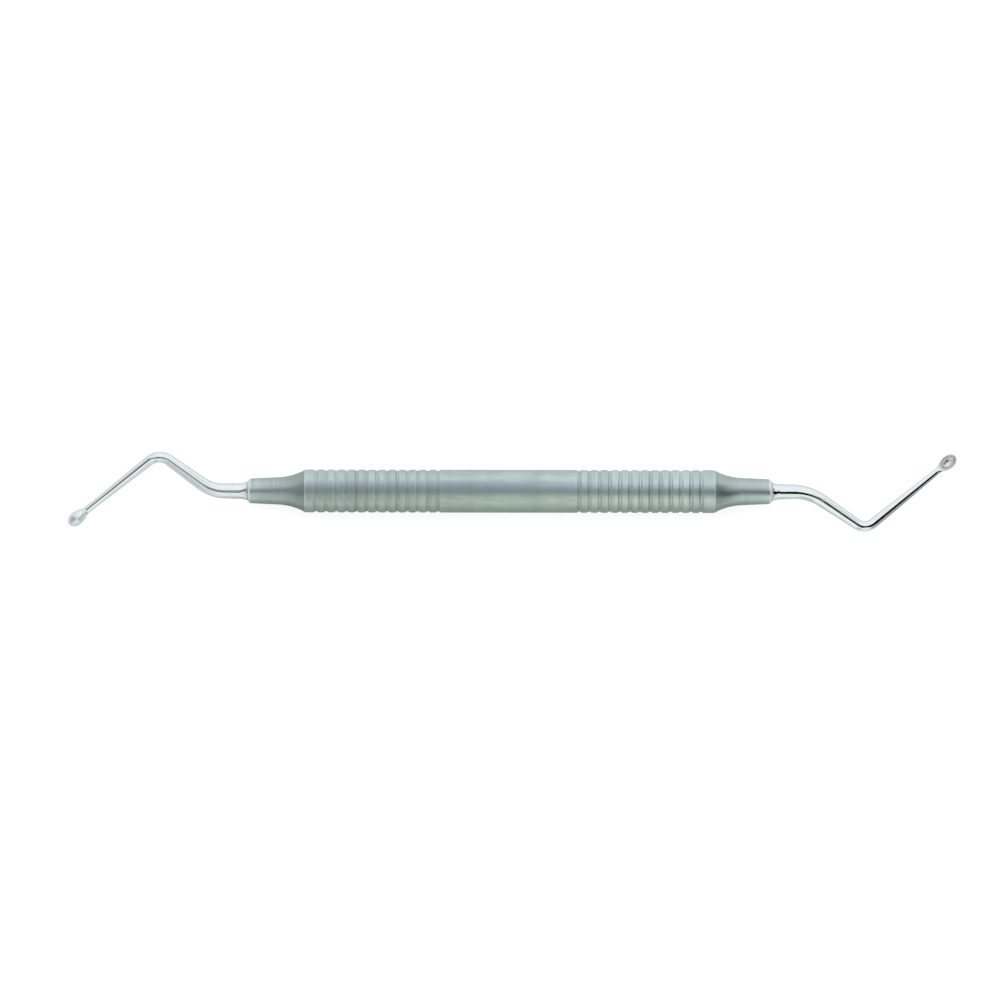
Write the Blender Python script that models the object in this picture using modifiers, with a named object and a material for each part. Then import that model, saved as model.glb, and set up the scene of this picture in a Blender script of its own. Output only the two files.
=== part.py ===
"""Double-ended bone curette: a hollow grooved handle with a bent spoon at each end.

The handle lies along X. Both shanks are bent in the horizontal plane through its
axis, so the instrument rests on the plain middle of its barrel. The origin is on
that underside, half way along the barrel. Lengths are metres and +Z is up.
"""

import math
from dataclasses import dataclass

import bmesh
import bpy
from mathutils import Matrix, Vector

MM = 0.001

# Handle barrel
BARREL_LENGTH = 80.8 * MM
BARREL_DIAMETER = 8.5 * MM
BARREL_WALL = 1.0 * MM
BARREL_EDGE_CHAMFER = 0.12 * MM

# Grip grooves, one band towards each end of the barrel
GROOVE_COUNT = 13
GROOVE_PITCH = 2.0 * MM
GROOVE_MOUTH_WIDTH = 0.72 * MM
GROOVE_FLOOR_WIDTH = 0.42 * MM
GROOVE_DEPTH = 0.22 * MM
LEFT_BAND_INSET = 2.25 * MM
RIGHT_BAND_INSET = 2.75 * MM

# End cones, pressed into the barrel by their spigots
CONE_LENGTH = 11.0 * MM
CONE_SHOULDER_STEP = 0.05 * MM
CONE_MOUTH_DIAMETER = 4.86 * MM
CONE_MOUTH_CHAMFER = 0.32 * MM
CONE_FLARE_RADIUS = 12.2 * MM
CONE_NOSE_TAPER = math.radians(2.6)
SPIGOT_LENGTH = 6.0 * MM
SPIGOT_CHAMFER = 0.3 * MM

# Tangs, held in the bores of the cones
TANG_DIAMETER = 2.6 * MM
TANG_LENGTH = 14.0 * MM
TANG_CHAMFER = 0.3 * MM

# Foot of each shank, a short fillet standing on the mouth of its cone
FOOT_DIAMETER = 3.75 * MM
FOOT_LENGTH = 1.7 * MM

# Spoon, the same at both ends
SPOON_LENGTH = 3.75 * MM
SPOON_WIDTH = 2.85 * MM
SPOON_DEPTH = 1.4 * MM
SPOON_WALL = 0.34 * MM
RIM_WIDTH = 0.27 * MM
RIM_RISE = 0.1 * MM
HEEL_LENGTH = 1.1 * MM
SHOULDER_BLEND = 0.7 * MM

# Fits
FIT_CLEARANCE = 0.1 * MM
SEAT_GAP = 0.1 * MM

# Facets
TURN_STEPS = 32
ARC_STEPS = 7
SECTION_POINTS = 24
FOOT_STEPS = 4
LEAST_BEND_STEPS = 6
BEND_RING_SPACING = 0.7 * MM
REACH_STEPS = 5
HEEL_STEPS = 5
SPOON_STATION_DEGREES = (-90, -78, -66, -54, -40, -22, 0, 20, 38, 52, 64, 74, 82)
CUTTER_SEGMENTS = 24
CUTTER_RINGS = 14
CUTTER_LIFT = 0.12 * MM
SHARP_ANGLE = math.radians(28)

BORE_RADIUS = BARREL_DIAMETER / 2 - BARREL_WALL
AXIS_HEIGHT = BARREL_DIAMETER / 2 * math.cos(math.pi / TURN_STEPS)


@dataclass(frozen=True)
class TipSizes:
    """Sizes of one curette tip, as it was bent by hand.

    Lengths along the shank run between the corners where its straight lines meet.
    """

    side: int
    exit_length: float
    first_bend: float
    first_radius: float
    offset_length: float
    second_bend: float
    second_radius: float
    reach_length: float
    shank_diameter: float
    neck_diameter: float
    taper_power: float
    spoon_roll: float


LEFT_TIP = TipSizes(
    side=-1,
    exit_length=7.1 * MM,
    first_bend=math.radians(35.6),
    first_radius=7.6 * MM,
    offset_length=12.8 * MM,
    second_bend=math.radians(74.1),
    second_radius=3.35 * MM,
    reach_length=22.7 * MM,
    shank_diameter=3.35 * MM,
    neck_diameter=1.5 * MM,
    taper_power=1.25,
    spoon_roll=math.radians(6),
)

RIGHT_TIP = TipSizes(
    side=1,
    exit_length=7.3 * MM,
    first_bend=math.radians(34.0),
    first_radius=10.3 * MM,
    offset_length=13.4 * MM,
    second_bend=math.radians(73.2),
    second_radius=2.8 * MM,
    reach_length=23.0 * MM,
    shank_diameter=3.2 * MM,
    neck_diameter=1.34 * MM,
    taper_power=1.05,
    spoon_roll=math.radians(22),
)


def smooth_step(value, low, high):
    """Return 0 below low and 1 above high, with an even S curve between them."""
    t = min(max((value - low) / (high - low), 0.0), 1.0)
    return t * t * (3 - 2 * t)


def blended_larger(first, second, blend):
    """Return the larger of two heights, with their crossing rounded over blend."""
    return 0.5 * (first + second + math.hypot(first - second, blend))


def even_stations(begin, finish, steps):
    """Return evenly spaced distances from begin to finish, both included."""
    return [begin + (finish - begin) * number / steps for number in range(steps + 1)]


def clear_scene():
    for item in list(bpy.data.objects):
        bpy.data.objects.remove(item, do_unlink=True)


def new_collection(name):
    collection = bpy.data.collections.new(name)
    bpy.context.scene.collection.children.link(collection)
    return collection


def steel(name, colour, roughness):
    material = bpy.data.materials.new(name)
    material.use_nodes = True
    shader = material.node_tree.nodes["Principled BSDF"]
    shader.inputs["Base Color"].default_value = (*colour, 1.0)
    shader.inputs["Metallic"].default_value = 1.0
    shader.inputs["Roughness"].default_value = roughness
    return material


def add_object(name, mesh, collection, material):
    item = bpy.data.objects.new(name, mesh)
    collection.objects.link(item)
    if material:
        mesh.materials.append(material)
    return item


def keep_evaluated_mesh(item, material):
    """Put the result of an object's modifiers in place of its mesh, shaded smooth."""
    graph = bpy.context.evaluated_depsgraph_get()
    mesh = bpy.data.meshes.new_from_object(item.evaluated_get(graph))
    item.modifiers.clear()
    item.data = mesh
    mesh.materials.clear()
    mesh.materials.append(material)
    mesh.shade_smooth()
    mesh.set_sharp_from_angle(angle=SHARP_ANGLE)


def turned_object(name, profile, collection, material):
    """Turn a closed profile of (radius, height) points and lay its axis along X.

    The turned piece has the middle of a facet underneath, so that it lies flat.
    """
    mesh = bpy.data.meshes.new(name)
    points = [(radius, 0.0, height) for radius, height in profile]
    edges = [(i, (i + 1) % len(points)) for i in range(len(points))]
    mesh.from_pydata(points, edges, [])
    item = add_object(name, mesh, collection, None)
    screw = item.modifiers.new("Turn", "SCREW")
    screw.axis = "Z"
    screw.angle = 2 * math.pi
    screw.steps = TURN_STEPS
    screw.render_steps = TURN_STEPS
    screw.use_merge_vertices = True
    screw.merge_threshold = 1e-6
    keep_evaluated_mesh(item, material)
    half_facet = Matrix.Rotation(math.pi / TURN_STEPS, 4, "Z")
    along_x = Matrix.Rotation(math.pi / 2, 4, "Y")
    item.matrix_world = Matrix.Translation((0, 0, AXIS_HEIGHT)) @ along_x @ half_facet
    return item


def groove_centres():
    """Return the places of all grip grooves along the barrel, left to right."""
    span = (GROOVE_COUNT - 1) * GROOVE_PITCH
    left_start = -BARREL_LENGTH / 2 + LEFT_BAND_INSET
    right_start = BARREL_LENGTH / 2 - RIGHT_BAND_INSET - span
    return [
        start + number * GROOVE_PITCH
        for start in (left_start, right_start)
        for number in range(GROOVE_COUNT)
    ]


def barrel_profile():
    """Outline of the tube wall: down the grooved outside, then up the bore."""
    end = BARREL_LENGTH / 2
    outer = BARREL_DIAMETER / 2
    floor = outer - GROOVE_DEPTH
    profile = [
        (outer - BARREL_EDGE_CHAMFER, end),
        (outer, end - BARREL_EDGE_CHAMFER),
    ]
    for centre in reversed(groove_centres()):
        profile += [
            (outer, centre + GROOVE_MOUTH_WIDTH / 2),
            (floor, centre + GROOVE_FLOOR_WIDTH / 2),
            (floor, centre - GROOVE_FLOOR_WIDTH / 2),
            (outer, centre - GROOVE_MOUTH_WIDTH / 2),
        ]
    profile += [
        (outer, BARREL_EDGE_CHAMFER - end),
        (outer - BARREL_EDGE_CHAMFER, -end),
        (BORE_RADIUS, -end),
        (BORE_RADIUS, end),
    ]
    return profile


def flare_points(base_radius):
    """Points of the hollow flare, from the shoulder out to the straight nose.

    The flare is one arc. It meets the tapering nose without a corner, and its
    steepness at the shoulder follows from the two diameters that it joins.
    """
    nose_fall = CONE_LENGTH * math.tan(CONE_NOSE_TAPER)
    mouth_radius = CONE_MOUTH_DIAMETER / 2
    offset = (base_radius - mouth_radius - nose_fall) * math.cos(CONE_NOSE_TAPER)
    steepest = CONE_NOSE_TAPER + math.acos(1 - offset / CONE_FLARE_RADIUS)
    points = []
    for step in range(ARC_STEPS + 1):
        angle = steepest + (CONE_NOSE_TAPER - steepest) * step / ARC_STEPS
        along = CONE_FLARE_RADIUS * (math.sin(steepest) - math.sin(angle))
        fall = CONE_FLARE_RADIUS * (math.cos(angle) - math.cos(steepest))
        points.append((base_radius - fall, along))
    return points


def cone_profile():
    """Outline of an end cone whose mouth is at the top, from mouth down to spigot."""
    shoulder = BARREL_LENGTH / 2 + SEAT_GAP
    mouth = shoulder + CONE_LENGTH
    mouth_radius = CONE_MOUTH_DIAMETER / 2
    base_radius = BARREL_DIAMETER / 2 - CONE_SHOULDER_STEP
    bore = TANG_DIAMETER / 2 + FIT_CLEARANCE
    spigot = BORE_RADIUS - FIT_CLEARANCE
    foot = shoulder - SPIGOT_LENGTH
    chamfer_fall = CONE_MOUTH_CHAMFER * math.tan(CONE_NOSE_TAPER)
    flare = [(radius, shoulder + along) for radius, along in flare_points(base_radius)]
    return [
        (bore, mouth),
        (mouth_radius - CONE_MOUTH_CHAMFER, mouth),
        (mouth_radius + chamfer_fall, mouth - CONE_MOUTH_CHAMFER),
        *reversed(flare),
        (spigot, shoulder),
        (spigot, foot + SPIGOT_CHAMFER),
        (spigot - SPIGOT_CHAMFER, foot),
        (bore, foot),
    ]


class ShankPath:
    """Middle line of a bent shank, in the plane of its bends.

    Distance zero is at the mouth of the cone, and the tang lies at distances
    below zero. The line turns one way at the first bend and back at the second.
    """

    def __init__(self, sizes):
        first_cut = sizes.first_radius * math.tan(sizes.first_bend / 2)
        second_cut = sizes.second_radius * math.tan(sizes.second_bend / 2)
        self.pieces = [
            (sizes.exit_length - first_cut, 0.0),
            (sizes.first_radius * sizes.first_bend, -1 / sizes.first_radius),
            (sizes.offset_length - first_cut - second_cut, 0.0),
            (sizes.second_radius * sizes.second_bend, 1 / sizes.second_radius),
            (sizes.reach_length - second_cut, 0.0),
        ]
        self.length = sum(length for length, _ in self.pieces)

    def bend_spans(self):
        """Return where each bend begins and ends."""
        spans, start = [], 0.0
        for length, curvature in self.pieces:
            if curvature:
                spans.append((start, start + length))
            start += length
        return spans

    def at(self, distance):
        """Return the point of the line at a distance and its heading there."""
        x, y, heading = min(distance, 0.0), 0.0, 0.0
        left = max(distance, 0.0)
        for length, curvature in self.pieces:
            run = min(left, length)
            if curvature:
                turned = heading + run * curvature
                x += (math.sin(turned) - math.sin(heading)) / curvature
                y += (math.cos(heading) - math.cos(turned)) / curvature
                heading = turned
            else:
                x += run * math.cos(heading)
                y += run * math.sin(heading)
            left -= run
        return x, y, heading


class CuretteTip:
    """One tip: tang, foot, tapering bent shank and hollowed spoon."""

    def __init__(self, name, sizes):
        self.name = name
        self.sizes = sizes
        self.path = ShankPath(sizes)
        self.end = self.path.length
        self.centre = self.end - SPOON_LENGTH / 2
        self.heel = self.end - SPOON_LENGTH

    def shank_radius(self, distance):
        """Radius of the round shank, which tapers from the mouth to the heel."""
        left = 1 - min(max(distance / self.heel, 0.0), 1.0)
        thick, thin = self.sizes.shank_diameter / 2, self.sizes.neck_diameter / 2
        radius = thin + (thick - thin) * left**self.sizes.taper_power
        fillet = max(1 - distance / FOOT_LENGTH, 0.0) ** 2
        return radius + (FOOT_DIAMETER / 2 - thick) * fillet

    def spoon_height(self, distance, largest):
        """Height of the spoon's oval at a distance, blended into the neck."""
        across = (distance - self.centre) / (SPOON_LENGTH / 2)
        oval = largest * math.sqrt(max(1 - across * across, 0.0))
        if distance >= self.centre:
            return oval
        coming = smooth_step(distance, self.heel - HEEL_LENGTH, self.heel)
        going = smooth_step(distance, self.heel, self.centre)
        blend = SHOULDER_BLEND * coming * (1 - going)
        return blended_larger(oval, self.shank_radius(distance), blend)

    def section(self, distance):
        """Return the half width, middle level, top and bottom heights of a section."""
        if distance <= self.heel - HEEL_LENGTH:
            radius = self.shank_radius(distance)
            return radius, 0.0, radius, radius
        flat = smooth_step(distance, self.heel - HEEL_LENGTH, self.heel + RIM_WIDTH / 2)
        half_width = self.spoon_height(distance, SPOON_WIDTH / 2)
        bottom = self.spoon_height(distance, SPOON_DEPTH)
        top = self.shank_radius(distance) * (1 - flat)
        return half_width, RIM_RISE * flat, top, bottom

    def frame(self, distance):
        """Return the frame of a section: along the shank, across it, and upwards.

        The tip that opens downwards is the other one turned through its centre.
        """
        x, y, heading = self.path.at(distance)
        mouth = BARREL_LENGTH / 2 + SEAT_GAP + CONE_LENGTH + SEAT_GAP
        along = Vector((math.cos(heading), math.sin(heading), 0.0))
        level = Vector((-math.sin(heading), math.cos(heading), 0.0))
        origin = Vector((mouth + x, y, 0.0))
        roll = Matrix.Rotation(-self.sizes.spoon_roll, 3, along)
        across = roll @ level
        upward = roll @ Vector((0.0, 0.0, 1.0))
        side = self.sizes.side
        height = Vector((0.0, 0.0, AXIS_HEIGHT))
        return height + side * origin, side * along, side * across, side * upward

    def ring(self, distance, radius=None):
        """Return the points of the section at a distance along the shank."""
        if radius is None:
            half_width, level, top, bottom = self.section(distance)
        else:
            half_width, level, top, bottom = radius, 0.0, radius, radius
        origin, _, across, upward = self.frame(distance)
        points = []
        for number in range(SECTION_POINTS):
            angle = 2 * math.pi * number / SECTION_POINTS
            rise = math.sin(angle)
            height = level + rise * (top if rise > 0 else bottom)
            points.append(origin + across * half_width * math.cos(angle) + upward * height)
        return points

    def tang_rings(self):
        """Rings of the tang, from its chamfered inner end to the foot."""
        radius = TANG_DIAMETER / 2
        return [
            self.ring(-TANG_LENGTH, radius - TANG_CHAMFER),
            self.ring(TANG_CHAMFER - TANG_LENGTH, radius),
            self.ring(0.0, radius),
        ]

    def shank_stations(self):
        """Distances of the rings along the foot and the shank up to the heel."""
        stations = even_stations(0.0, FOOT_LENGTH, FOOT_STEPS)
        for begin, finish in self.path.bend_spans():
            steps = max(LEAST_BEND_STEPS, round((finish - begin) / BEND_RING_SPACING))
            stations += even_stations(begin, finish, steps)
        reach_end = self.heel - HEEL_LENGTH
        return stations + even_stations(stations[-1], reach_end, REACH_STEPS)[1:]

    def spoon_stations(self):
        """Distances of the rings from the heel to just short of the tip."""
        neck = even_stations(self.heel - HEEL_LENGTH, self.heel, HEEL_STEPS)[1:-1]
        turns = [math.radians(angle) for angle in SPOON_STATION_DEGREES]
        half = SPOON_LENGTH / 2
        return neck + [self.centre + half * math.sin(turn) for turn in turns]

    def outer_mesh(self):
        """Skin all sections from the tang to the tip of the spoon."""
        rings = self.tang_rings()
        stations = self.shank_stations() + self.spoon_stations()
        rings += [self.ring(distance) for distance in stations]
        shape = bmesh.new()
        loops = [[shape.verts.new(point) for point in ring] for ring in rings]
        shape.faces.new(loops[0])
        for near, far in zip(loops, loops[1:]):
            for i in range(SECTION_POINTS):
                j = (i + 1) % SECTION_POINTS
                shape.faces.new((near[i], near[j], far[j], far[i]))
        origin, _, _, upward = self.frame(self.end)
        pole = shape.verts.new(origin + upward * RIM_RISE)
        for i in range(SECTION_POINTS):
            shape.faces.new((loops[-1][i], loops[-1][(i + 1) % SECTION_POINTS], pole))
        bmesh.ops.recalc_face_normals(shape, faces=shape.faces)
        mesh = bpy.data.meshes.new(self.name)
        shape.to_mesh(mesh)
        shape.free()
        return mesh

    def add_bowl_cutter(self, collection):
        """Add the oval ball that hollows the spoon and leaves its rim and wall.

        Its middle lies a little above the rim, so it cuts the flat face cleanly.
        """
        reach = SPOON_DEPTH - SPOON_WALL + CUTTER_LIFT
        widening = 1 / math.sqrt(1 - (CUTTER_LIFT / reach) ** 2)
        half_length = (SPOON_LENGTH / 2 - RIM_WIDTH) * widening
        half_width = (SPOON_WIDTH / 2 - RIM_WIDTH) * widening
        bpy.ops.mesh.primitive_uv_sphere_add(
            segments=CUTTER_SEGMENTS, ring_count=CUTTER_RINGS, radius=1.0
        )
        cutter = bpy.context.object
        cutter.name = self.name + "_bowl_cutter"
        cutter.scale = (half_length, half_width, reach)
        bpy.ops.object.transform_apply(scale=True)
        for owner in list(cutter.users_collection):
            owner.objects.unlink(cutter)
        collection.objects.link(cutter)
        origin, along, across, upward = self.frame(self.centre)
        turn = Matrix((along, across, upward)).transposed()
        if self.sizes.side < 0:
            turn = Matrix((along, -across, upward)).transposed()
        place = origin + upward * (RIM_RISE + CUTTER_LIFT)
        cutter.matrix_world = Matrix.Translation(place) @ turn.to_4x4()
        cutter.hide_render = True
        cutter.display_type = "WIRE"
        return cutter

    def build(self, collection, cutters, material):
        """Build the tip as one solid with its spoon hollowed."""
        item = add_object(self.name, self.outer_mesh(), collection, None)
        hollow = item.modifiers.new("Bowl", "BOOLEAN")
        hollow.operation = "DIFFERENCE"
        hollow.solver = "EXACT"
        hollow.object = self.add_bowl_cutter(cutters)
        keep_evaluated_mesh(item, material)
        return item


def build_handle(collection, material):
    """Build the barrel and its two end cones, all turned about the handle's axis."""
    turned_object("handle_barrel", barrel_profile(), collection, material)
    turned_object("end_cone_right", cone_profile(), collection, material)
    left = turned_object("end_cone_left", cone_profile(), collection, material)
    left.matrix_world = Matrix.Rotation(math.pi, 4, "Z") @ left.matrix_world


def main():
    clear_scene()
    parts = new_collection("bone_curette")
    cutters = new_collection("cutters")
    satin = steel("satin_steel", (0.60, 0.63, 0.64), 0.4)
    polished = steel("polished_steel", (0.80, 0.81, 0.82), 0.08)
    build_handle(parts, satin)
    CuretteTip("curette_tip_left", LEFT_TIP).build(parts, cutters, polished)
    CuretteTip("curette_tip_right", RIGHT_TIP).build(parts, cutters, polished)


main()
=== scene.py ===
"""Looks of a double-ended bone curette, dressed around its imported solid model.

The handle lies along X with its plain middle resting on the floor, and both shanks
are bent in the horizontal plane through its axis. The left spoon shows its back and
the right spoon its hollow. Lengths are metres, +Y is up in the picture and +Z is up
towards the camera.
"""

import logging
import math
from collections.abc import Callable
from dataclasses import dataclass, field, replace
from enum import Enum
from functools import cached_property

import bmesh
import bpy
from bpy.types import Material, Mesh, Node, NodeSocket, NodeTree, Object
from mathutils import Matrix, Vector


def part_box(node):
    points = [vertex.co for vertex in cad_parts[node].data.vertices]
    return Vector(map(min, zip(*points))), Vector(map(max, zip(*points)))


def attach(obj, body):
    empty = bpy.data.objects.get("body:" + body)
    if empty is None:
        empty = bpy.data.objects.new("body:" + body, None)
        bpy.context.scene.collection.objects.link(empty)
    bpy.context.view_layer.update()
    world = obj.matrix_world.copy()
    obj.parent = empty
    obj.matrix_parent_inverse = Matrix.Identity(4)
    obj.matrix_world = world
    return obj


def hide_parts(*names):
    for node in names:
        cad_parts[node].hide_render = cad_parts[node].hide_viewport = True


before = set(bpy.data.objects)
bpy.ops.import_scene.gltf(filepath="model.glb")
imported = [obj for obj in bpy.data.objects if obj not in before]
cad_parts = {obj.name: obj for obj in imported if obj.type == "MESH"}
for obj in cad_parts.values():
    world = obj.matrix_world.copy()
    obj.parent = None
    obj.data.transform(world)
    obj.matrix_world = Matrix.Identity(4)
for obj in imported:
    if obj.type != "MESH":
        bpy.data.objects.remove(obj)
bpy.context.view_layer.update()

Colour = tuple[float, float, float]
Place = tuple[float, float, float]
Span = tuple[float, float]
Table = tuple[tuple[float, float], ...]
Inputs = dict[str | int, object]

MM = 0.001
MM_PER_METRE = 1000.0
WHITE: Colour = (1.0, 1.0, 1.0)
BLACK: Colour = (0.0, 0.0, 0.0)
# The mixing node has sockets of the same name for each kind of value. These numbers
# are its two colours and the mixed colour.
MIX_FIRST, MIX_SECOND, MIX_RESULT = 6, 7, 2

log = logging.getLogger("bone_curette")


class End(Enum):
    """The two ends of the instrument, as they lie in the picture."""

    LEFT = -1
    RIGHT = 1

    @property
    def label(self) -> str:
        """Return the word that stands in the names of this end's pieces."""
        return self.name.lower()


class Trace(Enum):
    """Values that a mesh carries at its points for the finishes to read."""

    # The first of these darkens seams with dirt, and darkens the grooves and the cones' flares
    # with painted shade. The second brightens rubbed edges, partly as a painted highlight, and
    # tones the spoon's rim and the braze ring.
    GRIME_AND_SHADE = "grime_and_shade"
    EDGE_TONE = "edge_tone"
    BOWL = "bowl"
    BLADE = "blade"
    UNBENT = "unbent"


def smooth_step(value: float, low: float, high: float) -> float:
    """Return 0 up to low and 1 from high on, with an S curve between them."""
    t = min(max((value - low) / (high - low), 0.0), 1.0)
    return t * t * (3 - 2 * t)


def plateau(value: float, low: float, high: float, softness: float) -> float:
    """Return 1 between low and high and 0 beyond them, with soft steps at both."""
    begun = smooth_step(value, low - softness, low + softness)
    return begun * (1 - smooth_step(value, high - softness, high + softness))


def part_way(first: float, second: float, share: float) -> float:
    """Return the value that lies a share of the way from the first to the second."""
    return first + (second - first) * share


def blended_larger(first: float, second: float, blend: float) -> float:
    """Return the larger of two heights, rounded over the blend where they cross."""
    return 0.5 * (first + second + math.hypot(first - second, blend))


def blended_smaller(first: float, second: float, blend: float) -> float:
    """Return the smaller of two heights, rounded over the blend where they cross."""
    return -blended_larger(-first, -second, blend)


def even_places(begin: float, finish: float, spacing: float) -> list[float]:
    """Return even places from begin to finish, about one spacing apart."""
    steps = max(1, round(abs(finish - begin) / spacing))
    return [begin + (finish - begin) * number / steps for number in range(steps + 1)]


def mean(entries: list) -> float | Vector:
    """Return the mean of some numbers or of some vectors."""
    return sum(entries[1:], entries[0]) / len(entries)


def between(value: float, table: Table) -> float:
    """Read a value off a table of straight steps.

    Args:
        value: Where to read.
        table: Pairs of place and value, with rising places.

    Returns:
        The value there, held at both ends.
    """
    if value <= table[0][0]:
        return table[0][1]
    for (low, first), (high, second) in zip(table, table[1:]):
        if value <= high:
            return part_way(first, second, (value - low) / (high - low))
    return table[-1][1]


def tinted(level: float, tint: Colour) -> Colour:
    """Return a tint brought to a level."""
    return tuple(level * part for part in tint)


def mixed(first: Colour, second: Colour, share: float) -> Colour:
    """Return the first colour, with a share of the second one mixed in."""
    return tuple(part_way(a, b, share) for a, b in zip(first, second))


def link_object(name: str, data: bpy.types.ID) -> Object:
    """Put a new object in the scene.

    Args:
        name: The object's name.
        data: The mesh, lamp or camera that it shows.

    Returns:
        The object.
    """
    made = bpy.data.objects.new(name, data)
    bpy.context.scene.collection.objects.link(made)
    return made


class NodeBench:
    """Adds and joins the nodes of one material or world."""

    def __init__(self, tree: NodeTree) -> None:
        """Take the node tree to work on."""
        self.tree = tree

    def feed(self, node: Node, inputs: Inputs) -> None:
        """Give a node its inputs.

        Args:
            node: The node.
            inputs: Other nodes' outputs or plain values, by name or number.
        """
        for key, source in inputs.items():
            target = node.inputs[key]
            if isinstance(source, NodeSocket):
                self.tree.links.new(source, target)
            else:
                target.default_value = (*source, 1.0) if target.type == "RGBA" else source

    def add(self, kind: str, inputs: Inputs, **options: object) -> Node:
        """Add a node.

        Args:
            kind: The node's type, such as ShaderNodeTexNoise.
            inputs: Other nodes' outputs or plain values, by name or number.
            options: The node's own options by their names.

        Returns:
            The new node.
        """
        node = self.tree.nodes.new(kind)
        for name, value in options.items():
            setattr(node, name, value)
        self.feed(node, inputs)
        return node

    def math(self, operation: str, *terms: object) -> NodeSocket:
        """Return the result of a sum, such as MULTIPLY_ADD, of its terms in order."""
        node = self.add("ShaderNodeMath", dict(enumerate(terms)), operation=operation)
        return node.outputs[0]

    def stretch(self, place: NodeSocket, factors: Place) -> NodeSocket:
        """Return a place with each of its three parts multiplied by a factor."""
        inputs = {0: place, 1: factors}
        return self.add("ShaderNodeVectorMath", inputs, operation="MULTIPLY").outputs[0]

    def noise(self, place: NodeSocket, scale: float, detail: float) -> NodeSocket:
        """Return a cloudy value around 0.5, with some finer layers as its detail."""
        inputs = {"Vector": place, "Scale": scale, "Detail": detail}
        return self.add("ShaderNodeTexNoise", inputs).outputs["Fac"]

    def rise(self, value: NodeSocket, low: float, high: float) -> NodeSocket:
        """Return how far a value has risen from low to high, as 0 to 1."""
        inputs = {"Value": value, "From Min": low, "From Max": high}
        return self.add("ShaderNodeMapRange", inputs).outputs["Result"]

    def blend(self, share: NodeSocket, first: object, second: object) -> NodeSocket:
        """Return the first colour, with a share of the second one mixed in."""
        inputs = {"Factor": share, MIX_FIRST: first, MIX_SECOND: second}
        return self.add("ShaderNodeMix", inputs, data_type="RGBA").outputs[MIX_RESULT]

    def bump(self, inputs: Inputs) -> NodeSocket:
        """Return the surface direction that a bump with these inputs gives."""
        return self.add("ShaderNodeBump", inputs).outputs["Normal"]

    def trace(self, kept: Trace, output: str = "Fac") -> NodeSocket:
        """Return a value that the mesh carries, as a number or as a Vector."""
        return self.add("ShaderNodeAttribute", {}, attribute_name=kept.value).outputs[output]

    def place_in_mm(self) -> NodeSocket:
        """Return the place on the piece, in millimetres."""
        where = self.add("ShaderNodeTexCoord", {}).outputs["Object"]
        return self.stretch(where, (MM_PER_METRE,) * 3)


def drawn_material(name: str, surface: Callable[[NodeBench], Inputs]) -> Material:
    """Make a material whose surface is drawn by nodes.

    Args:
        name: The material's name.
        surface: Draws the nodes and gives what the shader's inputs take.

    Returns:
        The material.
    """
    material = bpy.data.materials.new(name)
    material.use_nodes = True
    bench = NodeBench(material.node_tree)
    bench.feed(material.node_tree.nodes["Principled BSDF"], surface(bench))
    return material


@dataclass(frozen=True)
class Steel:
    """Bare metal drawn by nodes, as both finishes are."""

    slot: str

    @cached_property
    def material(self) -> Material:
        """Return the finish's material, made once and shared by its pieces."""
        return drawn_material(f"{self.slot}_finish", self.surface)

    def surface(self, bench: NodeBench) -> Inputs:
        """Draw the nodes and return what the shader's inputs take, by their names."""
        raise NotImplementedError


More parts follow.
